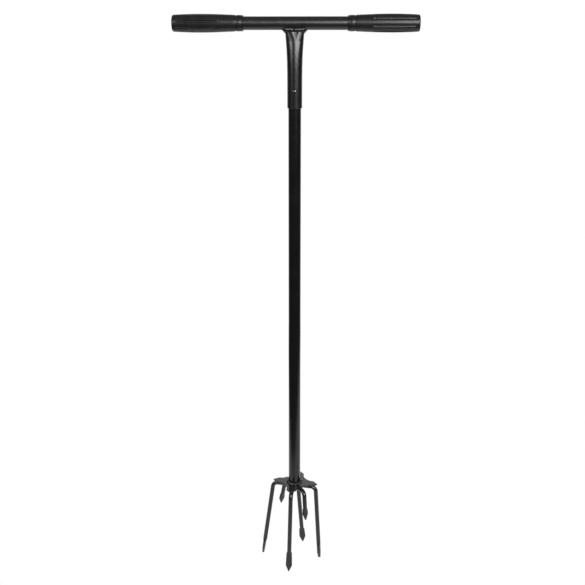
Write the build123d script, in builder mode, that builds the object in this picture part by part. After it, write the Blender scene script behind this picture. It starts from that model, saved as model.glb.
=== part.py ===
from build123d import *
import os
from math import asin, cos, degrees, exp, radians, sin, sqrt

os.makedirs("parts", exist_ok=True)

# Lawn aerator fork, standing on its points. +Z is up, +X runs along the handlebar to its
# right-hand grip and -Y is the front. The origin is on the ground, on the shaft's axis.

# Handlebar and shaft: the same round steel tube. The bar was welded on a little to the right.
tube_radius = 11.0
tube_wall = 1.5
bar_height = 1008.0
bar_half_length = 203.6
bar_offset = 1.2
bar_axis = Axis((0, 0, bar_height), (1, 0, 0))

# Moulded grips: lengths are measured from the grip's inner end, outwards.
grip_inner_end = 87.2
grip_length = 119.4
grip_bore_depth = bar_half_length - grip_inner_end
collar_ring = 3.0
collar_groove = 1.0
collar_radius = 13.2
collar_groove_radius = 12.5
neck_start = 9.0
grip_swell = [(neck_start, 13.3), (33.0, 14.2), (70.0, 15.05), (98.0, 14.6), (116.4, 13.8)]
grip_edge = [(118.5, 12.9), (grip_length, 10.8)]
flute_count = 8
flute_cutter_radius = 2.4
flute_cutter_reach = 16.1
flute_start = 44.0
flute_end = 111.6

# Socket under the handlebar: a round tube, pressed oval towards the bar.
socket_radius = 12.8
socket_wall = 1.5
socket_foot = 869.0
flare_foot = 926.0
flare_sections = 7
flare_top = bar_height - 5.0
flare_growth = 3.4
flare_offset = 8.0
flare_fade = 34.0
flare_power = 1.6

# Weld bead round the socket's mouth: height below the bar's axis, half length, half depth.
socket_bead = [(18.6, 15.9, 9.3), (15.0, 16.9, 10.2), (10.9, 21.6, 11.0), (5.5, 23.5, 11.6)]

# Shaft, from the head plate up into the socket.
plate_thickness = 2.5
plate_underside = 160.5
plate_top = plate_underside + plate_thickness
shaft_top = 932.0
shaft_bead_leg = 4.5

# Spring button through the socket and the shaft, facing the front.
button_height = 897.0
button_radius = 3.5
button_hole_radius = 3.8
button_crown = 15.2
button_dome = 2.0
button_flange_radius = 4.5
button_flange_face = 7.9
button_flange_thickness = 1.2
spring_width = 7.0
spring_thickness = 0.6
spring_back = 8.0
spring_foot = 868.0
spring_top = 905.0
spring_bend_radius = 5.0

# Head: a plate with four lobes, turned a little about the shaft's axis and set off it.
head_turn = -11.5
head_offset = 1.6
lobe_apex = 43.3
lobe_corner = 34.0
lobe_half_width = 9.3
lobe_side_start = 30.0
valley_reach = 23.2
corner_round = 1.0

# Tines: round bar, bent down under each lobe, with the end forged flat to a spear.
rod_radius = 4.0
rod_height = plate_underside - rod_radius
bend_radius = 10.0
long_inner_end = 7.0
short_inner_end = 12.5
long_spear_half_width = 6.25
short_spear_half_width = 5.9
spear_half_thickness = 2.8
spear_tip_half_width = 1.2
spear_tip_half_thickness = 1.4
spear_point_length = 11.5
long_spear = 40.0
short_spear = 28.0

# Each long tine: its bearing from the head's front lobe, how far out it bends, and where
# its point stands on the ground.
long_tines = {
    "front_tine": (4.0, 40.0, (-8.8, -52.3)),
    "right_tine": (90.0, 41.6, (49.0, -1.7)),
    "back_tine": (186.5, 41.0, (14.8, 55.8)),
    "left_tine": (270.0, 41.8, (-62.5, 11.3)),
}
# Each short tine: its bearing, how far out it bends, how far out its point is and how high.
short_tines = {
    "short_front_tine": (45.0, 35.6, 40.9, 101.0),
    "short_back_tine": (225.0, 33.0, 51.9, 94.0),
}

# Weld beads along both sides of each rod, under the plate.
bead_inner_half_width = 1.6
bead_outer_half_width = 6.4
bead_drop = 4.6
long_bead_span = (14.0, 29.0)
short_bead_span = (17.8, 22.0)


def bearing(angle):
    """The level direction at this angle from the front lobe, towards the right-hand one."""
    turned = radians(angle - 90 + head_turn)
    return Vector(cos(turned), sin(turned), 0)


def flare(drop):
    """How much the socket's half length has grown at this distance below the bar's axis."""
    return flare_growth * exp(-(((drop - flare_offset) / flare_fade) ** flare_power))


def socket_half_sizes(height, inset):
    """The oval's half length and half depth at a height; its girth stays the round tube's."""
    drop = max(bar_height - height, flare_offset)
    half_length = socket_radius + flare(drop)
    if height <= flare_foot:
        half_length = socket_radius
    half_depth = sqrt(2 * socket_radius**2 - half_length**2)
    return half_length - inset, half_depth - inset


def socket_solid(inset):
    """The socket's outside as a solid, or its bore when it is inset by the wall."""
    with BuildPart() as body:
        with BuildSketch(Plane.XY.offset(socket_foot)):
            Circle(socket_radius - inset)
        extrude(amount=flare_foot - socket_foot)
        for step in range(flare_sections):
            height = flare_foot + (flare_top - flare_foot) * step / (flare_sections - 1)
            half_length, half_depth = socket_half_sizes(height, inset)
            with BuildSketch(Plane.XY.offset(height)):
                Ellipse(half_length, half_depth)
        loft()
    return body.part


def make_grip(side, flute_rise):
    """A grip on the bar: side is 1 or -1, and one flute lies flute_rise above the front."""
    with BuildPart() as flute:
        ends = [
            bar_offset + side * (grip_inner_end + reach) for reach in (flute_start, flute_end)
        ]
        height = bar_height + flute_cutter_reach
        with Locations(Location(((ends[0] + ends[1]) / 2, 0, height), (0, 90, 0))):
            Cylinder(flute_cutter_radius, flute_end - flute_start)
        with Locations((ends[0], 0, height), (ends[1], 0, height)):
            Sphere(flute_cutter_radius)
    with BuildPart() as grip:
        bar_plane = Plane(origin=(0, 0, bar_height), x_dir=(1, 0, 0), z_dir=(0, -1, 0))

        def place(points):
            start = bar_offset + side * grip_inner_end
            return [(start + side * reach, radius) for reach, radius in points]

        with BuildSketch(bar_plane):
            with BuildLine():
                rings = [(0, tube_radius), (0, collar_radius)]
                for start in (collar_ring, 2 * collar_ring + collar_groove):
                    rings.append((start, collar_radius))
                    rings.append((start, collar_groove_radius))
                    rings.append((start + collar_groove, collar_groove_radius))
                    rings.append((start + collar_groove, collar_radius))
                rings.append(grip_swell[0])
                Polyline(*place(rings))
                Spline(*place(grip_swell))
                ThreePointArc(*place([grip_swell[-1]] + grip_edge))
                closed_end = [grip_edge[-1], (grip_length, 0), (grip_bore_depth, 0)]
                closed_end += [(grip_bore_depth, tube_radius), (0, tube_radius)]
                Polyline(*place(closed_end))
            make_face()
        revolve(axis=bar_axis)
        for index in range(flute_count):
            turn = 90 - flute_rise + index * 360 / flute_count
            add(flute.part.rotate(bar_axis, turn), mode=Mode.SUBTRACT)
    return grip.part


def make_tine(direction, inner_end, corner_reach, point, spear_length, half_width):
    """A bent rod whose lower end is forged into a spear that ends at point."""
    inner = direction * inner_end + Vector(0, 0, rod_height)
    corner = direction * corner_reach + Vector(0, 0, rod_height)
    leg = (point - corner).normalized()
    across = leg.cross(direction).normalized()
    neck = point - leg * spear_length
    widest = point - leg * spear_point_length
    half_way = neck + (widest - neck) * 0.5
    with BuildPart() as tine:
        with BuildLine() as route:
            FilletPolyline(inner, corner, neck, radius=bend_radius)
        with BuildSketch(Plane(inner, x_dir=across, z_dir=direction)):
            Circle(rod_radius)
        sweep(path=route.wire())
        with BuildSketch(Plane(neck, x_dir=across, z_dir=leg)):
            Ellipse(rod_radius, rod_radius)
        with BuildSketch(Plane(half_way, x_dir=across, z_dir=leg)):
            Ellipse(rod_radius * 1.12, rod_radius * 0.88)
        with BuildSketch(Plane(widest, x_dir=across, z_dir=leg)):
            Ellipse(half_width, spear_half_thickness)
        loft()
        with BuildSketch(Plane(widest, x_dir=across, z_dir=leg)):
            Ellipse(half_width, spear_half_thickness)
        with BuildSketch(Plane(point, x_dir=across, z_dir=leg)):
            Ellipse(spear_tip_half_width, spear_tip_half_thickness)
        loft(ruled=True)
    return tine.part


def make_tine_bead(direction, side, span):
    """The bead in the corner between one side of a rod and the underside of the plate."""
    start, end = span
    across = Vector(0, 0, 1).cross(direction)
    centre = direction * start + Vector(0, 0, rod_height)
    with BuildPart() as bead:
        with BuildSketch(Plane(centre, x_dir=across, z_dir=direction)):
            with BuildLine():
                Polyline(
                    (side * bead_inner_half_width, 0),
                    (side * bead_inner_half_width, rod_radius),
                    (side * bead_outer_half_width, rod_radius),
                    (side * rod_radius * 0.98, rod_radius - bead_drop),
                    close=True,
                )
            make_face()
            Circle(rod_radius, mode=Mode.SUBTRACT)
        extrude(amount=end - start)
    return bead.part


def save(part, label):
    """Label a finished piece and write its STEP file."""
    part.label = label
    export_step(part, f"parts/{label}.step")


# Handlebar
with BuildPart() as handlebar_tube:
    bar_end = (bar_offset - bar_half_length, 0, bar_height)
    with BuildSketch(Plane(bar_end, x_dir=(0, 1, 0), z_dir=(1, 0, 0))):
        Circle(tube_radius)
        Circle(tube_radius - tube_wall, mode=Mode.SUBTRACT)
    extrude(amount=2 * bar_half_length)
handlebar_tube.part.label = "handlebar_tube"
export_step(handlebar_tube.part, "parts/handlebar_tube.step")

# Grips: alike, but each was pushed on at its own angle.
save(make_grip(-1, 10.5), "left_grip")
save(make_grip(1, -17.0), "right_grip")

# Socket: its mouth is cut to sit on the bar, and its front has the button's hole.
socket_outside = socket_solid(0)
with BuildPart() as handle_socket:
    add(socket_outside)
    add(socket_solid(socket_wall), mode=Mode.SUBTRACT)
    with Locations(Location((0, 0, bar_height), (0, 90, 0))):
        Cylinder(tube_radius, 6 * socket_radius, mode=Mode.SUBTRACT)
    with Locations(Location((0, -socket_radius, button_height), (90, 0, 0))):
        Cylinder(button_hole_radius, socket_radius, mode=Mode.SUBTRACT)
handle_socket.part.label = "handle_socket"
export_step(handle_socket.part, "parts/handle_socket.step")

# Bead between the socket's mouth and the bar.
with BuildPart() as socket_weld:
    for drop, half_length, half_depth in socket_bead:
        with BuildSketch(Plane.XY.offset(bar_height - drop)):
            Ellipse(half_length, half_depth)
    loft(ruled=True)
    add(socket_outside, mode=Mode.SUBTRACT)
    with Locations(Location((0, 0, bar_height), (0, 90, 0))):
        Cylinder(tube_radius, 6 * socket_radius, mode=Mode.SUBTRACT)
socket_weld.part.label = "socket_weld"
export_step(socket_weld.part, "parts/socket_weld.step")

# Shaft, with the button's hole near its top.
with BuildPart() as shaft_tube:
    with BuildSketch(Plane.XY.offset(plate_top)):
        Circle(tube_radius)
        Circle(tube_radius - tube_wall, mode=Mode.SUBTRACT)
    extrude(amount=shaft_top - plate_top)
    with Locations(Location((0, -tube_radius, button_height), (90, 0, 0))):
        Cylinder(button_hole_radius, tube_radius, mode=Mode.SUBTRACT)
shaft_tube.part.label = "shaft_tube"
export_step(shaft_tube.part, "parts/shaft_tube.step")

# Bead round the shaft's foot, hollow-faced.
with BuildPart() as shaft_weld:
    with BuildSketch(Plane.XZ):
        with BuildLine():
            toe = (tube_radius + shaft_bead_leg, plate_top)
            top = (tube_radius, plate_top + shaft_bead_leg)
            Line(toe, (tube_radius, plate_top))
            Line((tube_radius, plate_top), top)
            RadiusArc(top, toe, 3 * shaft_bead_leg)
        make_face()
    revolve(axis=Axis.Z)
shaft_weld.part.label = "shaft_weld"
export_step(shaft_weld.part, "parts/shaft_weld.step")

# Button: a domed pin on a flange that is held inside the shaft.
flange_back = button_flange_face - button_flange_thickness
dome_radius = (button_radius**2 + button_dome**2) / (2 * button_dome)
with BuildPart() as snap_button:
    with BuildSketch(Plane.XY.offset(button_height)):
        with BuildLine():
            dome = CenterArc(
                center=(0, dome_radius - button_crown),
                radius=dome_radius,
                start_angle=-90,
                arc_size=degrees(asin(button_radius / dome_radius)),
            )
            Polyline(
                dome @ 1,
                (button_radius, -button_flange_face),
                (button_flange_radius, -button_flange_face),
                (button_flange_radius, -flange_back),
                (0, -flange_back),
                dome @ 0,
            )
        make_face()
    revolve(axis=Axis((0, 0, button_height), (0, 1, 0)))
snap_button.part.label = "snap_button"
export_step(snap_button.part, "parts/snap_button.step")

# Leaf spring: a folded strip, with one leg behind the button and one on the shaft's back.
with BuildPart() as snap_spring:
    spring_plane = Plane((-spring_width / 2, 0, 0), x_dir=(0, 1, 0), z_dir=(1, 0, 0))
    front_face = -flange_back
    with BuildSketch(spring_plane):
        with BuildLine() as spring_line:
            FilletPolyline(
                (front_face + spring_thickness / 2, spring_top),
                (front_face + spring_thickness / 2, button_height - 8),
                (-spring_bend_radius + 1, spring_foot),
                (spring_back, spring_foot),
                (spring_back, spring_top),
                radius=3.0,
            )
            offset(amount=spring_thickness / 2)
        make_face()
    extrude(amount=spring_width)
snap_spring.part.label = "snap_spring"
export_step(snap_spring.part, "parts/snap_spring.step")

# Head plate: four lobes, each ending in a point, with hollow curves between them.
with BuildPart() as head_plate:
    with BuildSketch(Plane((head_offset, 0, plate_underside))):
        with BuildLine():
            for quarter in range(4):
                out = bearing(90 * quarter)
                side = bearing(90 * quarter + 90)
                Polyline(
                    out * lobe_side_start - side * lobe_half_width,
                    out * lobe_corner - side * lobe_half_width,
                    out * lobe_apex,
                    out * lobe_corner + side * lobe_half_width,
                    out * lobe_side_start + side * lobe_half_width,
                )
                ThreePointArc(
                    out * lobe_side_start + side * lobe_half_width,
                    (out + side).normalized() * valley_reach,
                    side * lobe_side_start + out * lobe_half_width,
                )
        make_face()
    extrude(amount=plate_thickness)
    upright = head_plate.edges().filter_by(Axis.Z)
    centre = Vector(head_offset, 0, plate_underside + plate_thickness / 2)
    corners = upright.filter_by(lambda edge: (edge.center() - centre).length > lobe_corner)
    fillet(corners, radius=corner_round)
head_plate.part.label = "head_plate"
export_step(head_plate.part, "parts/head_plate.step")

# Tines, and the two beads that hold each one under the plate.
for label, (angle, corner_reach, (point_x, point_y)) in long_tines.items():
    foot = Vector(point_x, point_y, 0)
    spear = (long_spear, long_spear_half_width)
    save(make_tine(bearing(angle), long_inner_end, corner_reach, foot, *spear), label)
    save(make_tine_bead(bearing(angle), -1, long_bead_span), f"{label}_weld_a")
    save(make_tine_bead(bearing(angle), 1, long_bead_span), f"{label}_weld_b")

for label, (angle, corner_reach, point_reach, point_height) in short_tines.items():
    foot = bearing(angle) * point_reach + Vector(0, 0, point_height)
    spear = (short_spear, short_spear_half_width)
    save(make_tine(bearing(angle), short_inner_end, corner_reach, foot, *spear), label)
    save(make_tine_bead(bearing(angle), -1, short_bead_span), f"{label}_weld_a")
    save(make_tine_bead(bearing(angle), 1, short_bead_span), f"{label}_weld_b")
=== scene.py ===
import bpy
import numpy as np
from mathutils import Matrix, Vector


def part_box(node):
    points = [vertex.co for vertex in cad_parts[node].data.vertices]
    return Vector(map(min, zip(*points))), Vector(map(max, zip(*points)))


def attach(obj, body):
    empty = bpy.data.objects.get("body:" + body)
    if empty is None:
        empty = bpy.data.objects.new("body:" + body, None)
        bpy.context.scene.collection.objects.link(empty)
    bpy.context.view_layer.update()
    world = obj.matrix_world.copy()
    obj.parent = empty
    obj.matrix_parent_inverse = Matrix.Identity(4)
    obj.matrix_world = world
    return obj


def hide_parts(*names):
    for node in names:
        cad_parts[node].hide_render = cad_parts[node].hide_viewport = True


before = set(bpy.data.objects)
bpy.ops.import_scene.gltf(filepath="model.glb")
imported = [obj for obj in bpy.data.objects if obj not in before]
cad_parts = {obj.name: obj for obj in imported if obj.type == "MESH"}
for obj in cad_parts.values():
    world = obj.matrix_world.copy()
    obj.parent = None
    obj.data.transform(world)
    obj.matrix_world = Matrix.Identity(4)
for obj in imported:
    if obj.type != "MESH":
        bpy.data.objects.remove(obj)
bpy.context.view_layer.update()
mm = 0.001


# Handlebar. One straight length of 22 mm round steel tube, sawn off square with its edges
# broken, and black powder coated after welding. Only its middle shows between the grips.
def make_piece(name, grid, wrap_rows=False, sharp=35):
    """A mesh from a grid of points: each cell is one face, columns always close into a
    ring, rows close too where asked, points that coincide merge, and faces look outwards,
    turned round if the volume that they enclose comes out negative."""
    coincide = 1e-7
    rows, columns, _ = grid.shape
    index = np.arange(rows * columns).reshape(rows, columns)
    below = index if wrap_rows else index[:-1]
    above = np.roll(index, -1, axis=0) if wrap_rows else index[1:]
    corners = [below, np.roll(below, -1, 1), np.roll(above, -1, 1), above]
    cells = np.stack(corners, -1).reshape(-1, 4)
    points = grid.reshape(-1, 3)
    a, b, c, d = (points[cells[:, k]] for k in range(4))
    volume = np.einsum("ij,ij->", a, np.cross(b, c)) + np.einsum("ij,ij->", a, np.cross(c, d))
    if volume < 0:
        cells = cells[:, ::-1]
    _, first, joined = np.unique(np.round(points / coincide).astype(np.int64), axis=0,
                                 return_index=True, return_inverse=True)
    cells = joined.reshape(-1)[cells]
    faces = [list(dict.fromkeys(cell)) for cell in cells.tolist()]
    mesh = bpy.data.meshes.new(name)
    mesh.from_pydata(points[first].tolist(), [], [face for face in faces if len(face) > 2])
    mesh.shade_smooth()
    mesh.set_sharp_from_angle(angle=np.radians(sharp))
    piece = bpy.data.objects.new(name, mesh)
    bpy.context.scene.collection.objects.link(piece)
    return piece


def turned(profile, start, axis, steps, lift=None):
    """A profile of (distance along the axis, radius) rows turned once about the axis; lift
    is a radius offset for each row and angle. The angle is zero in front and 90 degrees up,
    or to the right when the axis stands upright."""
    axis = np.array(axis, float)
    front = np.array([0.0, -1.0, 0.0])
    rise = np.array([0.0, 0.0, 1.0]) if abs(axis[0]) > 0.5 else np.array([1.0, 0.0, 0.0])
    angle = np.arange(steps) * 2 * np.pi / steps
    along, radius = np.array(profile, float).T
    radius = radius[:, None] + (0 if lift is None else lift)
    spoke = np.cos(angle)[:, None] * front + np.sin(angle)[:, None] * rise
    return np.array(start) + along[:, None, None] * axis + radius[..., None] * spoke[None]


def tube_section(length, outer, inner, edge, stations):
    """The wall of a cut tube as a closed loop: out along the outside, back along the bore,
    with the four corners of the wall cut off by edge."""
    out = [(x, outer) for x in np.linspace(edge, length - edge, stations)]
    back = [(x, inner) for x in np.linspace(length - edge, edge, stations)]
    far_end = [(length, outer - edge), (length, inner + edge)]
    return [(0, outer - edge)] + out + far_end + back + [(0, inner + edge)]


def coat(name, shade, roughness, gloss, peel, peel_size, mottle=0.25):
    """A skin whose shade and roughness drift a little over centimetres, over a fine bump:
    the orange peel that powder leaves when it melts, or the grain of plastic or steel."""
    cloud_scale = 55
    cloud_low, cloud_high = 0.3, 0.7
    rub = 0.08
    material = bpy.data.materials.new(name)
    material.use_nodes = True
    nodes, links = material.node_tree.nodes, material.node_tree.links
    skin = nodes["Principled BSDF"]
    skin.inputs["Specular IOR Level"].default_value = gloss
    place = nodes.new("ShaderNodeTexCoord")
    cloud = nodes.new("ShaderNodeTexNoise")
    cloud.inputs["Scale"].default_value = cloud_scale
    cloud.inputs["Detail"].default_value = 6
    links.new(place.outputs["Object"], cloud.inputs["Vector"])
    tint = nodes.new("ShaderNodeValToRGB")
    for end, position, strength in ((0, cloud_low, 1 - mottle), (1, cloud_high, 1 + mottle)):
        tint.color_ramp.elements[end].position = position
        tint.color_ramp.elements[end].color = (*[c * strength for c in shade], 1)
    links.new(cloud.outputs["Fac"], tint.inputs["Fac"])
    links.new(tint.outputs["Color"], skin.inputs["Base Color"])
    wear = nodes.new("ShaderNodeMapRange")
    wear.inputs["From Min"].default_value = cloud_low
    wear.inputs["From Max"].default_value = cloud_high
    wear.inputs["To Min"].default_value = roughness * (1 - rub)
    wear.inputs["To Max"].default_value = roughness * (1 + rub)
    links.new(cloud.outputs["Fac"], wear.inputs["Value"])
    links.new(wear.outputs["Result"], skin.inputs["Roughness"])
    grain = nodes.new("ShaderNodeTexNoise")
    grain.inputs["Scale"].default_value = 1 / peel_size
    grain.inputs["Detail"].default_value = 2
    links.new(place.outputs["Object"], grain.inputs["Vector"])
    bump = nodes.new("ShaderNodeBump")
    bump.inputs["Strength"].default_value = 1
    bump.inputs["Distance"].default_value = peel
    links.new(grain.outputs["Fac"], bump.inputs["Height"])
    links.new(bump.outputs["Normal"], skin.inputs["Normal"])
    return material


def fit(piece, body, material, node):
    """Gives a finished piece its material, hangs it on its body and hides the node that it stands
    for.
    """
    piece.data.materials.clear()
    piece.data.materials.append(material)
    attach(piece, body)
    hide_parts(node)


bar_low, bar_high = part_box("handlebar_tube")
bar_height = (bar_low[2] + bar_high[2]) / 2
bar_stations = 60
tube_radius = (bar_high[2] - bar_low[2]) / 2
tube_bore = tube_radius - 1.5 * mm
tube_edge = 0.25 * mm
tube_steps = 128
bar_coat = coat("handlebar coat", (0.004, 0.004, 0.0045),
                roughness=0.35, gloss=0.66, peel=0.8e-6, peel_size=1.3 * mm)
bar_length = bar_high[0] - bar_low[0]
bar_section = tube_section(bar_length, tube_radius, tube_bore, tube_edge, bar_stations)
bar_surface = turned(bar_section, (bar_low[0], 0, bar_height), (1, 0, 0), tube_steps)
bar = make_piece("handlebar", bar_surface, wrap_rows=True)
fit(bar, "tool", bar_coat, "handlebar_tube")


# Grips. Two black moulded grips pushed onto the bar's ends: a thin collar with two cut
# rings, a slim neck, and a swollen palm with eight round-bottomed flutes and a closed end.
grip_steps = 256
collar_radius = 13.2 * mm
ring_starts = (1.5 * mm, 11.8 * mm)
neck_start = 14.2 * mm
edge_start = 116.4 * mm
edge_round = 3.0 * mm
cap_radius = 10.8 * mm
grip_flutes = 8
flute_centre = 16.0 * mm
flute_radius = 2.6 * mm
flute_start = 44.0 * mm
flute_end = 111.6 * mm
flute_lip = 0.22 * mm
fluted_radius = 13.3 * mm


def grip_profile(length, bore, wall_end):
    """The grip's outline from the bottom of its bore, round the collar and out to the end:
    a smooth swell, which is the sixth-power curve nearest to ten radii along the palm, and
    a quarter round at the outer edge."""
    reach_marks = np.array([9, 20, 33, 45, 60, 72, 88, 98, 107, 116.4]) * mm
    radius_marks = np.array([13.3, 13.65, 14.2, 14.6, 14.95, 15.03, 14.88, 14.6, 14.25, 13.8]) * mm
    curve = np.polynomial.Polynomial.fit(reach_marks, radius_marks, 6)
    lip = [(0, bore), (0, 12.3 * mm), (0.3 * mm, 12.85 * mm), (0.9 * mm, collar_radius)]
    ring_cut = [(-0.3, 0), (0, 0.25), (0.4, 0.7), (1.1, 0.7), (1.5, 0.25), (1.8, 0)]
    rings = [(start + along * mm, collar_radius - deep * mm)
             for start in ring_starts for along, deep in ring_cut]
    palm = [(reach, curve(reach)) for reach in np.linspace(neck_start, edge_start, 190)]
    edge = [(edge_start + (length - edge_start) * np.sin(t), cap_radius + edge_round * np.cos(t))
            for t in np.radians(np.linspace(12, 90, 9))]
    cap = [(length, radius) for radius in (8 * mm, 4 * mm, 0)]
    return np.array([(wall_end, 0), (wall_end, bore)] + lip + rings + palm + edge + cap)


def flute_lift(profile, steps, rise):
    """How far each point of the turned outline drops into a flute. A flute is the path of a
    ball-ended cutter whose centre runs outside the grip: its floor stands at the centre's
    distance times the cosine, less the chord there, and a soft minimum rounds its lips."""
    angle = np.arange(steps) * 2 * np.pi / steps - np.radians(rise)
    pitch = 2 * np.pi / grip_flutes
    off = (angle + pitch / 2) % pitch - pitch / 2
    reach, radius = profile.T
    past = np.clip(flute_start - reach, 0, None) + np.clip(reach - flute_end, 0, None)
    ball = np.sqrt(np.clip(flute_radius**2 - past**2, 0, None))[:, None]
    chord = ball**2 - (flute_centre * np.sin(off)) ** 2
    floor = np.where(chord > 0, flute_centre * np.cos(off) - np.sqrt(np.clip(chord, 0, None)), 1.0)
    outer = radius[:, None] * np.ones(steps)
    blend = np.clip(0.5 + 0.5 * (outer - floor) / flute_lip, 0, 1)
    cut = outer * (1 - blend) + floor * blend - flute_lip * blend * (1 - blend)
    return np.where(outer > fluted_radius, cut - outer, 0)


grip_plastic = coat("grip plastic", (0.007, 0.007, 0.007),
                    roughness=0.345, gloss=0.38, peel=2e-6, peel_size=0.5 * mm, mottle=0.18)
for side, node, rise in ((-1, "left_grip", 10.5), (1, "right_grip", -17.0)):
    low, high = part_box(node)
    inner_end = high[0] if side < 0 else low[0]
    bore_end = bar_high[0] - inner_end if side > 0 else inner_end - bar_low[0]
    outline = grip_profile(high[0] - low[0], tube_radius, bore_end)
    lift = flute_lift(outline, grip_steps, rise)
    grip_surface = turned(outline, (inner_end, 0, bar_height), (side, 0, 0), grip_steps, lift)
    grip = make_piece(node + "_moulding", grip_surface, sharp=50)
    fit(grip, "tool", grip_plastic, node)


# Socket. A 150 mm length of slightly larger tube: its foot takes the shaft, and its upper
# third is pressed flat from front to back, so that it spreads along the bar, and is cut to
# saddle the bar. The press leaves a shallow three-cornered dent in the middle of each face.
socket_low, socket_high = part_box("handle_socket")
socket_radius = (socket_high[1] - socket_low[1]) / 2
socket_wall = 1.5 * mm
socket_foot = socket_low[2]
foot_roll = 0.35 * mm
foot_bevel = 1.1 * mm
flare_growth = 3.4 * mm
flare_offset = 8 * mm
flare_fade = 34 * mm
flare_power = 1.6
saddle_drop = 9 * mm
dent_height = 21 * mm
dent_depth = 0.6 * mm
dent_centre = 1.5 * mm
dent_point = 0.6 * mm
dent_spread = 5.6 * mm
dent_squareness = 0.5
button_low, button_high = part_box("snap_button")
button_height = (button_low[2] + button_high[2]) / 2
button_hole = 3.8 * mm
drill_gap = 1 * mm


def socket_skin(height, angle, inset):
    """A point of the socket's skin: an oval whose half length grows towards the bar by a
    fading exponential and whose half depth shrinks so that the girth stays the same. Where
    the press bit, the oval squares up: its sine and cosine are raised to a power below one.
    The dent there is a flat-bottomed hollow that deepens and widens evenly upwards."""
    drop = np.clip(bar_height - height, flare_offset, None)
    fade = np.exp(-(((drop - flare_offset) / flare_fade) ** flare_power))
    half_length = socket_radius + flare_growth * fade
    half_depth = np.sqrt(2 * socket_radius**2 - half_length**2)
    climb = np.clip((height - (bar_height - flare_offset - dent_height)) / dent_height, 0, 1)
    square = 1 - dent_squareness * climb
    x = np.sign(np.sin(angle)) * np.abs(np.sin(angle)) ** square * (half_length - inset)
    y = -np.sign(np.cos(angle)) * np.abs(np.cos(angle)) ** square * (half_depth - inset)
    dent = climb * np.exp(-(((x - dent_centre) / (dent_point + dent_spread * climb)) ** 4))
    y = y - np.sign(y) * dent_depth * dent
    return np.stack([x, y, height * np.ones_like(x)], -1)


def saddle_height(angle, inset):
    """The height at which the skin meets the bar: the bar's axis less the chord there."""
    across = socket_skin(bar_height - saddle_drop, angle, inset)[..., 1]
    return bar_height - np.sqrt(np.clip(tube_radius**2 - across**2, 0, None))


def socket_grid(stations, steps):
    """The socket's wall as a closed loop of rings: up the outside from the foot to the
    saddle, and down the bore, with the foot's edge rolled over. The rings crowd a little
    towards the saddle, where the skin bends most."""
    angle = np.arange(steps) * 2 * np.pi / steps
    share = np.linspace(0, 1, stations)[:, None] ** 0.9
    foot = socket_foot + foot_roll
    rings = []
    for inset, order in ((0, 1), (socket_wall, -1)):
        height = foot + (saddle_height(angle, inset) - foot) * share
        rings.append(socket_skin(height, angle * np.ones_like(height), inset)[::order])
    for inset in (foot_bevel, foot_roll):
        rings.append(socket_skin(np.full(steps, socket_foot), angle, inset)[None])
    return np.concatenate(rings)


def turned_front(profile, height, steps):
    """A profile of (distance behind a plane just ahead of the button, radius) turned about
    the line that runs from front to back at this height."""
    angle = np.arange(steps) * 2 * np.pi / steps
    along, radius = np.array(profile, float).T
    x = radius[:, None] * np.cos(angle)
    z = height + radius[:, None] * np.sin(angle)
    y = button_low[1] - drill_gap + along[:, None] * np.ones_like(x)
    return np.stack([x, y, z], -1)


def bore_front(piece, depth):
    """Drills the button's hole through the front wall only, and keeps the result as mesh."""
    profile = [(0, 0), (0, button_hole), (depth, button_hole), (depth, 0)]
    drill = make_piece("drill", turned_front(profile, button_height, 48))
    cut = piece.modifiers.new("button hole", "BOOLEAN")
    cut.object = drill
    cut.solver = "EXACT"
    evaluated = piece.evaluated_get(bpy.context.evaluated_depsgraph_get())
    drilled = bpy.data.meshes.new_from_object(evaluated)
    piece.modifiers.remove(cut)
    piece.data = drilled
    bpy.data.objects.remove(drill)
    piece.data.set_sharp_from_angle(angle=np.radians(30))


socket_coat = coat("socket coat", (0.004, 0.004, 0.0045),
                   roughness=0.245, gloss=0.5, peel=0.8e-6, peel_size=1.2 * mm)
socket = make_piece("handle_socket_tube", socket_grid(110, 160), wrap_rows=True)
bore_front(socket, depth=8 * mm)
fit(socket, "tool", socket_coat, "handle_socket")


# Weld between the socket and the bar. A hand-laid bead all round the saddle, heaviest at the
# two ends of the oval, with the scalloped ripples that each pulse of the torch leaves.
def ripple(distance, pitch, depth, seed):
    """Scallops along a bead: the sine of a phase that grows with the distance over the pitch
    and wanders every few ripples, plus a share of the sine of twice the phase, which makes
    each scallop lean, and of a slower sine, which makes some of them higher."""
    wander_size, wander_pitches = 0.9, 4.7
    lean_share, lean_phase = 0.35, 0.8
    slow_share, slow_rate = 0.5, 0.37
    wander = wander_size * np.sin(2 * np.pi * distance / (wander_pitches * pitch) + seed)
    phase = 2 * np.pi * distance / pitch + wander
    lean = lean_share * np.sin(2 * phase + lean_phase)
    slow = slow_share * np.sin(slow_rate * phase + 2 * seed)
    return depth * (np.sin(phase) + lean + slow)


# The bead's legs, up the bar and down the socket, in the middle of a face, and how much
# longer or shorter they get at the ends of the oval, where the bead turns from round to hollow.
up_leg, up_leg_gain = 2.2 * mm, 3.4 * mm
down_leg, down_leg_loss = 6.4 * mm, 0.6 * mm
face_bulge, bulge_ripple = 2.2 * mm, 1.2
end_hollow = 1.15
root_rise, root_inset = 0.8 * mm, 0.6 * mm
saddle_steps = 360
saddle_angle = np.arange(saddle_steps) * 2 * np.pi / saddle_steps
root = socket_skin(saddle_height(saddle_angle, 0), saddle_angle, 0)
tangent = np.roll(root, -1, 0) - np.roll(root, 1, 0)
outward = np.stack([-tangent[:, 1], tangent[:, 0]], -1)
outward /= np.linalg.norm(outward, axis=1, keepdims=True)
outward *= np.sign((outward * root[:, :2]).sum(1, keepdims=True))
level = np.column_stack([outward, np.zeros(saddle_steps)])
slope = np.arcsin(np.clip(np.abs(root[:, 1]) / tube_radius, 0, 0.995))
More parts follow.
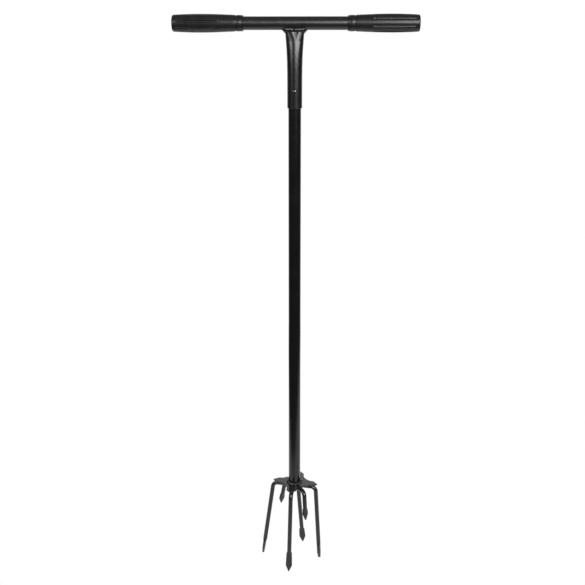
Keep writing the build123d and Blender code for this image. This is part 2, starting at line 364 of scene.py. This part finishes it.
up_bar = np.stack([outward[:, 0], outward[:, 1] * np.cos(slope),
                   np.abs(outward[:, 1]) * np.sin(slope)], -1)
end_share = np.sin(saddle_angle) ** 2
run_length = np.cumsum(np.linalg.norm(root - np.roll(root, 1, 0), axis=1))
scallop = ripple(run_length, pitch=1.9 * mm, depth=0.16 * mm, seed=1.0)
leg_up = up_leg + up_leg_gain * end_share**2 + scallop
leg_down = down_leg - down_leg_loss * end_share**2 + scallop
hollow = (1 + end_hollow * end_share**2)[:, None]
bulge = (face_bulge + bulge_ripple * scallop) * (1 - end_share**3)
sweep = np.radians(np.linspace(0, 90, 11))[:, None, None]
bead_face = (root + leg_up[:, None] * up_bar * np.cos(sweep) ** hollow
             + leg_down[:, None] * np.array([0, 0, -1]) * np.sin(sweep) ** hollow
             + bulge[:, None] * level * np.sin(2 * sweep))
bead_root = root + np.array([0, 0, root_rise]) - root_inset * level
weld_coat = coat("weld coat", (0.005, 0.005, 0.0055),
                 roughness=0.2, gloss=0.5, peel=1e-5, peel_size=0.9 * mm)
bead_loop = np.concatenate([bead_face, bead_root[None]])
socket_bead = make_piece("socket_bead", bead_loop, wrap_rows=True, sharp=60)
fit(socket_bead, "tool", weld_coat, "socket_weld")


# Shaft. The same 22 mm tube as the bar, pushed up inside the socket, with the button's hole
# drilled in its front. Its coat is a little darker and smoother than the bar's.
shaft_low, shaft_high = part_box("shaft_tube")
shaft_stations = 110
shaft_coat = coat("shaft coat", (0.003, 0.003, 0.0032),
                  roughness=0.18, gloss=0.5, peel=0.7e-6, peel_size=1.5 * mm)
shaft_length = shaft_high[2] - shaft_low[2]
shaft_section = tube_section(shaft_length, tube_radius, tube_bore, tube_edge, shaft_stations)
shaft_surface = turned(shaft_section, (0, 0, shaft_low[2]), (0, 0, 1), tube_steps)
shaft = make_piece("shaft", shaft_surface, wrap_rows=True)
bore_front(shaft, depth=9 * mm)
fit(shaft, "tool", shaft_coat, "shaft_tube")


# Spring button. A steel pin with a rounded crown, turned and blackened. It slides in the two
# holes, and its flange stops it inside the shaft.
button_radius = 3.5 * mm
crown_height = 2 * mm
crown_power = 0.67
flange_radius = 4.5 * mm
flange_thickness = 1.2 * mm
crown = [(drill_gap + crown_height * (1 - np.cos(t) ** crown_power),
          button_radius * np.sin(t) ** crown_power)
         for t in np.radians(np.linspace(0, 90, 22))]
flange_back = button_high[1] - button_low[1] + drill_gap
flange_front = flange_back - flange_thickness
flange = [(flange_front, button_radius), (flange_front, flange_radius),
          (flange_back, flange_radius), (flange_back, 0)]
button_steel = coat("blackened steel", (0.1, 0.1, 0.102),
                    roughness=0.17, gloss=0.5, peel=2e-6, peel_size=0.6 * mm)
button_steel.node_tree.nodes["Principled BSDF"].inputs["Metallic"].default_value = 0.95
button = make_piece("button_pin", turned_front(crown + flange, button_height, 72), sharp=40)
fit(button, "button", button_steel, "snap_button")


# Leaf spring. A folded strip of bright spring steel, hidden in the shaft behind the button.
# Its modelled strip is kept as it is and takes the steel's look.
spring_steel = coat("spring steel", (0.42, 0.42, 0.43),
                    roughness=0.3, gloss=0.5, peel=1e-6, peel_size=0.4 * mm, mottle=0.1)
spring_steel.node_tree.nodes["Principled BSDF"].inputs["Metallic"].default_value = 1.0
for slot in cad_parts["snap_spring"].material_slots:
    slot.material = spring_steel


# Head plate. Laser-cut 2.5 mm steel with four pointed lobes and hollow sides, its edges
# rounded over by tumbling and by the coat. It stands square on the shaft's foot.
plate_low, plate_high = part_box("head_plate")
head_turn = np.radians(-11.5)
head_centre = np.array([(plate_low[0] + plate_high[0]) / 2, (plate_low[1] + plate_high[1]) / 2])
lobe_tip = 43.3 * mm
lobe_shoulder = 34.0 * mm
lobe_start = 30.0 * mm
lobe_half_width = 9.3 * mm
valley = 23.2 * mm
plate_edge = 0.5 * mm
plate_steps = 720
corner_passes = 6


def bearing(angle):
    """The level direction at this angle from the front lobe, towards the right-hand one."""
    turned_by = np.radians(angle - 90) + head_turn
    return np.array([np.cos(turned_by), np.sin(turned_by)])


def plate_outline():
    """Points evenly spaced round the plate. A quarter of it runs from the point of a lobe
    down its slope, along its side, and round the hollow, an arc that bulges towards the
    shaft, to the next lobe. The corners are softened by averaging neighbours."""
    out, side = bearing(0), bearing(90)
    middle = (out + side) / np.linalg.norm(out + side)
    first = out * lobe_start + side * lobe_half_width
    last = side * lobe_start + out * lobe_half_width
    half_chord = np.linalg.norm(last - first) / 2
    rise = (first + last) @ middle / 2 - valley
    radius = (half_chord**2 + rise**2) / (2 * rise)
    sweep = np.linspace(-1, 1, 40)[1:-1] * np.arcsin(half_chord / radius)
    along = (last - first) / (2 * half_chord)
    centre = middle * (valley + radius)
    arc = centre + radius * (np.sin(sweep)[:, None] * along - np.cos(sweep)[:, None] * middle)
    slope = [out * lobe_tip, out * lobe_shoulder + side * lobe_half_width, first]
    quarter = np.concatenate([slope, arc, [last, side * lobe_shoulder + out * lobe_half_width]])
    turns = [np.array([[np.cos(t), np.sin(t)], [-np.sin(t), np.cos(t)]])
             for t in np.arange(4) * np.pi / 2]
    loop = np.concatenate([quarter @ turn for turn in turns])
    step = np.linalg.norm(np.roll(loop, -1, 0) - loop, axis=1)
    travelled = np.concatenate([[0], np.cumsum(step)])
    even = np.linspace(0, travelled[-1], plate_steps, endpoint=False)
    loop = np.concatenate([loop, loop[:1]])
    loop = np.stack([np.interp(even, travelled, loop[:, k]) for k in range(2)], -1)
    for _ in range(corner_passes):
        loop = (np.roll(loop, 1, 0) + 2 * loop + np.roll(loop, -1, 0)) / 4
    return loop


def plate_grid():
    """Rings from the middle of the underside, out to the outline, over its two rounded
    edges and back to the middle of the top."""
    outline = plate_outline()
    ahead = np.roll(outline, -1, 0) - np.roll(outline, 1, 0)
    inward = np.stack([-ahead[:, 1], ahead[:, 0]], -1) / np.linalg.norm(ahead, axis=1, keepdims=True)
    inward *= -np.sign((inward * outline).sum(1).mean())
    rim = outline + inward * plate_edge
    quarter = np.radians(np.linspace(0, 90, 6))
    rings = []
    for height, side in ((plate_low[2], -1), (plate_high[2], 1)):
        flat = [np.column_stack([rim * share, np.full(plate_steps, height)])
                for share in (0, 0.25, 0.5, 0.75, 0.92)]
        bend = [np.column_stack([outline + inward * plate_edge * (1 - np.cos(t)),
                                 np.full(plate_steps, height - side * plate_edge * (1 - np.sin(t)))])
                for t in quarter]
        rings += flat + bend[::-1] if side < 0 else bend + flat[::-1]
    grid = np.stack(rings)
    grid[..., :2] += head_centre
    return grid


plate_coat = coat("plate coat", (0.005, 0.005, 0.0055),
                  roughness=0.22, gloss=0.46, peel=4e-6, peel_size=1.6 * mm)
plate = make_piece("lobed_plate", plate_grid())
fit(plate, "tool", plate_coat, "head_plate")


# Weld at the shaft's foot. A ring bead laid on the plate, with some 34 ripples round it, lumpy
# all round and highest in front, where it starts and stops.
ring_steps = 300
ring_radius = 13.5 * mm
ring_ripples = 34
ring_leg_size = 3.9 * mm
ring_ripple_depth = 0.22 * mm
ring_height_share = 0.9
ring_hollow = 1.2
ring_crest = 0.3 * mm
ring_inset, ring_sink = 0.5 * mm, 0.3 * mm
lump_count = 26
front_lump = (0.06, 0.12, 1.1)
ring_angle = np.arange(ring_steps) * 2 * np.pi / ring_steps
ring_pitch = ring_radius * 2 * np.pi / ring_ripples

# A lump is its angle, its width as an angle, and its height in millimetres.
chance = np.random.default_rng(7)
lumps = [(chance.uniform(0, 2 * np.pi), chance.uniform(0.06, 0.2), chance.uniform(-0.6, 0.7))
         for _ in range(lump_count)]
lumps.append(front_lump)
apart = [(ring_angle - at + np.pi) % (2 * np.pi) - np.pi for at, _, _ in lumps]
lump = sum(high * mm * np.exp(-((off / wide) ** 2)) for off, (_, wide, high) in zip(apart, lumps))
ring_ripple = ripple(ring_angle * ring_radius, ring_pitch, ring_ripple_depth, seed=2.0)
ring_leg = ring_leg_size + ring_ripple + lump
ring_sweep = np.radians(np.linspace(0, 90, 16))[:, None]
wobble = np.sin(3 * ring_sweep + 2.5 * np.sin(3 * ring_angle) + ring_angle)
crest = ring_crest * wobble * np.sin(2 * ring_sweep)
ring_out = tube_radius + (ring_leg + crest) * np.cos(ring_sweep) ** ring_hollow
ring_up = plate_high[2] + (ring_height_share * ring_leg + crest) * np.sin(ring_sweep) ** ring_hollow
ring_out = np.concatenate([ring_out, np.full((1, ring_steps), tube_radius - ring_inset)])
ring_up = np.concatenate([ring_up, np.full((1, ring_steps), plate_high[2] - ring_sink)])
ring_grid = np.stack([ring_out * np.sin(ring_angle), -ring_out * np.cos(ring_angle), ring_up], -1)
foot_bead = make_piece("foot_bead", ring_grid, wrap_rows=True, sharp=60)
fit(foot_bead, "tool", weld_coat, "shaft_weld")


# Tines. 8 mm round bar: each length lies under the plate, bends down over a 10 mm radius
# and leans outwards. Its end is hammered flat in a die, so it steps out to a broad blade,
# widens slowly to two shoulders and comes to a point.
rod_radius = 4.0 * mm
rod_height = plate_low[2] - rod_radius
rod_steps = 40
bend_radius = 10 * mm
blade_neck = 4.5 * mm
blade_point = 11.5 * mm
point_half_width = 1.15 * mm
neck_width_share = 0.84
neck_thin_share = 0.75
point_thinning, thinning_power = 0.25, 1.6
blade_squareness = 0.22
sawn_end = [0.88, 0.96, 1.0]
sawn_places = [0, 0.3 * mm, 0.6 * mm]
bend_broadening, bend_flattening = 0.12 * mm, 0.2 * mm
nose_share = 0.7
nose_reach, tip_reach = 0.4 * mm, 0.55 * mm


def tine_path(direction, inner_end, corner_reach, point, blade_length):
    """Centres and upward directions along a bar: a level run, an arc and a straight leg to
    the point. The arc's tangent length is its radius times the tangent of half the turn."""
    inner = np.array([*direction * inner_end, rod_height])
    corner = np.array([*direction * corner_reach, rod_height])
    run = np.array([*direction, 0.0])
    leg = (point - corner) / np.linalg.norm(point - corner)
    turn = np.arccos(run @ leg)
    cut = bend_radius * np.tan(turn / 2)
    across = np.cross(leg, run) / np.linalg.norm(np.cross(leg, run))
    rise = np.cross(run, across)
    rise *= -np.sign(rise @ leg)
    straight = corner_reach - inner_end - cut
    level = np.array([*sawn_places, *np.linspace(2 * mm, straight, 12)])
    bend = np.linspace(0, turn, 26)[1:]
    reach = np.linalg.norm(point - corner) - cut
    blade_start = reach - blade_length
    ends = np.concatenate([np.linspace(2 * mm, blade_start - 1 * mm, 16),
                           blade_start + np.linspace(0, blade_length - blade_point, 34),
                           reach - np.linspace(blade_point, 0, 22)[1:]])
    arc = np.sin(bend)[:, None] * run - (1 - np.cos(bend))[:, None] * rise
    centre = np.concatenate([inner + level[:, None] * run,
                             inner + run * straight + bend_radius * arc,
                             corner + (cut + ends)[:, None] * leg])
    lift = np.concatenate([np.tile(rise, (len(level), 1)),
                           np.cos(bend)[:, None] * rise + np.sin(bend)[:, None] * run,
                           np.tile(np.cos(turn) * rise + np.sin(turn) * run, (len(ends), 1))])
    squash = np.concatenate([np.zeros(len(level)), np.sin(np.pi * bend / turn), np.zeros(len(ends))])
    return centre, lift, across, leg, squash, ends - blade_start


def tine_grid(direction, inner_end, corner_reach, point, blade_length, half_width, half_thickness):
    """An oval section carried along the bar's path. Its half width steps from the rod's
    radius to the blade's over the neck and falls to the point, while its half thickness
    does the reverse; on the blade the oval squares up. The bend is squashed a little. The
    sawn inner end is broken at its edge, and a smaller ring and a point close the tip."""
    centre, lift, across, leg, squash, on_blade = tine_path(
        direction, inner_end, corner_reach, point, blade_length)
    forged = np.clip(on_blade / blade_neck, 0, 1)
    forged = forged**2 * (3 - 2 * forged)
    widening = np.clip(on_blade / (blade_length - blade_point), 0, 1)
    taper = np.clip((blade_length - on_blade) / blade_point, 0, 1)
    at_neck = half_width * neck_width_share
    broad = rod_radius + forged * (at_neck - rod_radius) + widening * (half_width - at_neck)
    wide = np.minimum(broad, half_width) * taper + point_half_width * (1 - taper)
    flat = forged * neck_thin_share + widening * (1 - neck_thin_share)
    thin = rod_radius + (half_thickness - rod_radius) * flat
    thin = thin * (1 - point_thinning * (1 - taper) ** thinning_power)
    before = len(centre) - len(on_blade)
    round_bar = np.array(sawn_end + [1.0] * (before - len(sawn_end))) * rod_radius
    width = np.concatenate([round_bar, wide]) + bend_broadening * squash
    thickness = np.concatenate([round_bar, thin]) - bend_flattening * squash
    power = np.concatenate([np.ones(before), 1 - blade_squareness * forged])[:, None]
    angle = np.arange(rod_steps) * 2 * np.pi / rod_steps
    cosine = np.sign(np.cos(angle)) * np.abs(np.cos(angle)) ** power
    sine = np.sign(np.sin(angle)) * np.abs(np.sin(angle)) ** power
    sideways = (width[:, None] * cosine)[..., None] * across
    upwards = (thickness[:, None] * sine)[..., None] * lift[:, None]
    ring = centre[:, None] + sideways + upwards
    nose = ring[-1] * nose_share + centre[-1] * (1 - nose_share) + leg * nose_reach
    tip = centre[-1] + leg * tip_reach
    return np.concatenate([np.repeat(centre[:1, None], rod_steps, 1), ring, nose[None],
                           np.repeat(tip[None, None], rod_steps, 1)])


def add_tine(node, grid):
    """Makes a bar from its grid, gives it the tine coat, hangs it on the tool and hides the node
    that it stands for.
    """
    tine = make_piece(node + "_bar", grid, sharp=45)
    fit(tine, "tool", tine_coat, node)


tine_coat = coat("tine coat", (0.006, 0.006, 0.0065),
                 roughness=0.26, gloss=0.5, peel=2.2e-6, peel_size=1.3 * mm)

# For each long tine: its bearing in degrees, then in millimetres how far out its bend's
# corner is, where its point is, the blade's length and the blade's half thickness.
long_inner_end = 7 * mm
long_half_width = 6.2 * mm
long_tines = {
    "front_tine": (4.0, 40.0, (-8.8, -52.0, 0.6), 40, 2.8),
    "right_tine": (90.0, 41.6, (49.0, -1.7, 0.6), 33, 3.3),
    "back_tine": (186.5, 41.0, (14.8, 55.35, 0.6), 32, 2.8),
    "left_tine": (270.0, 41.8, (-62.5, 11.3, 0.6), 31, 2.6),
}
for node, (angle, corner_reach, point, blade, thick) in long_tines.items():
    point = np.array(point) * mm
    add_tine(node, tine_grid(bearing(angle), long_inner_end, corner_reach * mm, point,
                             blade * mm, long_half_width, thick * mm))

# For each short tine: its bearing, how far out its bend's corner and its point are, and how
# high its point is. Both blades are alike.
short_inner_end = 12.5 * mm
short_blade = 24 * mm
short_half_width = 5.85 * mm
short_half_thickness = 2.7 * mm
short_tines = {
    "short_front_tine": (45.0, 35.6, 40.9, 101.0),
    "short_back_tine": (225.0, 33.0, 51.9, 94.0),
}
for node, (angle, corner_reach, point_reach, height) in short_tines.items():
    point = np.array([*bearing(angle) * point_reach, height]) * mm
    add_tine(node, tine_grid(bearing(angle), short_inner_end, corner_reach * mm, point,
                             short_blade, short_half_width, short_half_thickness))


# Tine welds. A short rippled bead laid by hand along each side of every rod, in the corner
# between the rod and the underside of the plate, before the powder coat.
bead_inside = 2.0 * mm
bead_shoulder, bead_width, bead_depth = 1.4 * mm, 3.0 * mm, 4.4 * mm
bead_hollow = 1.2
bead_root_drop = 0.1 * mm
bead_pitch, bead_ripple = 1.8 * mm, 0.05
bead_fade, bead_end_size = 2 * mm, 0.25
long_bead = (14.0 * mm, 29.0 * mm)
short_bead = (17.8 * mm, 22.0 * mm)


def corner_bead(direction, side, start, end, seed):
    """A bead along a rod: its face bulges between the plate and the rod's flank, its size
    ripples along the way and dies out over two millimetres at each end."""
    across = np.array([-direction[1], direction[0]]) * side
    along = np.linspace(start, end, 60)
    swell = np.sqrt(np.clip(np.minimum(along - start, end - along) / bead_fade, 0, 1))
    swell = bead_end_size + (1 - bead_end_size) * swell
    size = (1 + ripple(along, bead_pitch, bead_ripple, seed)) * swell
    face = np.radians(np.linspace(0, 90, 8))
    reach = bead_shoulder + bead_width * np.cos(face) ** bead_hollow
    out = np.append(reach, 0)[:, None] * size + bead_inside
    sink = bead_depth * np.sin(face) ** bead_hollow
    drop = np.append(sink, bead_root_drop)[:, None] * size
    place = direction * along[:, None]
    grid = np.stack([place[:, 0] + out * across[0], place[:, 1] + out * across[1],
                     plate_low[2] - drop], -1)
    middle = grid.mean(0)
    first_cap = np.repeat(middle[:1, None], len(grid), 1)
    last_cap = np.repeat(middle[-1:, None], len(grid), 1)
    return np.concatenate([first_cap, grid.transpose(1, 0, 2), last_cap])


for node, (angle, *_) in {**long_tines, **short_tines}.items():
    bead_span = short_bead if "short" in node else long_bead
    for name, side in (("a", -1), ("b", 1)):
        grid = corner_bead(bearing(angle), side, *bead_span, angle + side)
        bead = make_piece(f"{node}_bead_{name}", grid, sharp=60)
        fit(bead, "tool", weld_coat, f"{node}_weld_{name}")


# Studio. A pale round of floor that fades out half a metre in front, a white screen behind,
# dark in front and dim overhead. The camera sees plain white wherever it misses the tool.
floor_height = -1.5 * mm
floor_centre = (0.08, 0.42)
floor_radius = 1.08
floor_rings, floor_steps = 12, 96
fade_centre = (0.2, 0.42, floor_height)
fade_start, fade_end = 0.77, 1.01
faded_light = 0.05
screen_side_edge = (0.45, 0.75)
screen_top_edge = (0.42, 0.75)
overhead_rise = (0.2, 0.9)
low_light, high_light = 0.09, 0.26


def add_node(tree, kind, **settings):
    """A shader node with its settings, such as its data type, already made."""
    node = tree.nodes.new(kind)
    for setting, value in settings.items():
        setattr(node, setting, value)
    return node


def ramp(tree, source, start, finish, before, after, smooth="SMOOTHSTEP"):
    """The output of a node that maps start..finish to before..after."""
    node = add_node(tree, "ShaderNodeMapRange", interpolation_type=smooth)
    node.inputs["From Min"].default_value = start
    node.inputs["From Max"].default_value = finish
    node.inputs["To Min"].default_value = before
    node.inputs["To Max"].default_value = after
    tree.links.new(source, node.inputs["Value"])
    return node.outputs["Result"]


def white_to_camera(tree, strength):
    """The strength as it is, but one for the rays that come straight from the camera."""
    rays = add_node(tree, "ShaderNodeLightPath")
    mix = add_node(tree, "ShaderNodeMix", data_type="FLOAT")
    mix.inputs["B"].default_value = 1.0
    tree.links.new(rays.outputs["Is Camera Ray"], mix.inputs["Factor"])
    tree.links.new(strength, mix.inputs["A"])
    return mix.outputs["Result"]


floor_angle = np.arange(floor_steps) * 2 * np.pi / floor_steps
floor_reach = np.linspace(0, floor_radius, floor_rings)[:, None]
floor_grid = np.stack([floor_centre[0] + floor_reach * np.cos(floor_angle),
                       floor_centre[1] + floor_reach * np.sin(floor_angle),
                       np.full((floor_rings, floor_steps), floor_height)], -1)
floor = make_piece("studio_floor", floor_grid)
floor_paper = bpy.data.materials.new("floor paper")
floor_paper.use_nodes = True
paper = floor_paper.node_tree
paper.nodes.clear()
spot = add_node(paper, "ShaderNodeTexCoord")
away = add_node(paper, "ShaderNodeVectorMath", operation="DISTANCE")
away.inputs[1].default_value = fade_centre
paper.links.new(spot.outputs["Object"], away.inputs[0])
paper_glow = add_node(paper, "ShaderNodeEmission")
paper_light = ramp(paper, away.outputs["Value"], fade_start, fade_end, 1.0, faded_light)
paper.links.new(white_to_camera(paper, paper_light), paper_glow.inputs["Strength"])
paper_out = add_node(paper, "ShaderNodeOutputMaterial")
paper.links.new(paper_glow.outputs[0], paper_out.inputs["Surface"])
floor.data.materials.append(floor_paper)

world = bpy.data.worlds.new("studio")
bpy.context.scene.world = world
world.use_nodes = True
sky = world.node_tree
sky.nodes.clear()
towards = add_node(sky, "ShaderNodeTexCoord")
parts = add_node(sky, "ShaderNodeSeparateXYZ")
sky.links.new(towards.outputs["Generated"], parts.inputs[0])
behind = ramp(sky, parts.outputs["Y"], *screen_side_edge, 0.0, 1.0)
low_down = ramp(sky, parts.outputs["Z"], *screen_top_edge, 1.0, 0.0)
overhead = ramp(sky, parts.outputs["Z"], *overhead_rise, low_light, high_light, smooth="LINEAR")
screen = add_node(sky, "ShaderNodeMath", operation="MULTIPLY_ADD")
for socket_number, source in enumerate((behind, low_down, overhead)):
    sky.links.new(source, screen.inputs[socket_number])
glow = add_node(sky, "ShaderNodeBackground")
glow.inputs["Color"].default_value = (1, 1, 1, 1)
sky.links.new(white_to_camera(sky, screen.outputs[0]), glow.inputs["Strength"])
sky_out = add_node(sky, "ShaderNodeOutputWorld")
sky.links.new(glow.outputs[0], sky_out.inputs["Surface"])


# Lights. A wide oval soft light on the right and a smaller, dimmer one on the left, both
# aimed at the socket from a little above it.
lit_place = Vector((0, 0, 0.98))
light_distance = 2.2
light_elevation = np.radians(15)


def soft_light(name, azimuth, width, height, radiance):
    """An oval soft light: azimuth is measured from the front towards the right. Its power
    is its radiance times pi, times the oval's area, which is pi times a quarter of its width
    times its height."""
    turn = np.radians(azimuth)
    level = np.cos(light_elevation)
    away = Vector((np.sin(turn) * level, -np.cos(turn) * level, np.sin(light_elevation)))
    lamp = bpy.data.lights.new(name, "AREA")
    lamp.shape = "ELLIPSE"
    lamp.size = width
    lamp.size_y = height
    lamp.energy = radiance * np.pi * (np.pi * width * height / 4)
    light = bpy.data.objects.new(name, lamp)
    light.location = lit_place + away * light_distance
    light.rotation_euler = away.to_track_quat("Z", "Y").to_euler()
    bpy.context.scene.collection.objects.link(light)
    light.visible_camera = False


soft_light("right light", azimuth=30, width=2.46, height=1.0, radiance=12.0)
soft_light("left light", azimuth=-43, width=1.34, height=0.92, radiance=8.2)


# Camera. A little to the right of the front, about level with the handlebar, and looking
# down by 16 degrees, so that the plate and the spikes are seen from above.
camera_pitch = np.radians(16.0)
camera_turn = np.radians(2.5)
camera_distance = 1.6236
camera_slip = -3.8 * mm
camera_aim = Vector((0, 0, 0.5413))
focal_length = 55.2308
sensor_width = 36
level = np.cos(camera_pitch)
back = Vector((np.sin(camera_turn) * level, -np.cos(camera_turn) * level, np.sin(camera_pitch)))
right = Vector((np.cos(camera_turn), np.sin(camera_turn), 0))
up = back.cross(right)
lens = bpy.data.cameras.new("camera")
lens.sensor_width = sensor_width
lens.lens = focal_length
lens.clip_end = 50
camera = bpy.data.objects.new("camera", lens)
camera_place = camera_aim + back * camera_distance + right * camera_slip
camera_axes = Matrix((right, up, back)).transposed().to_4x4()
camera.matrix_world = Matrix.Translation(camera_place) @ camera_axes
bpy.context.scene.collection.objects.link(camera)
bpy.context.scene.camera = camera
bpy.context.scene.view_settings.view_transform = "Standard"
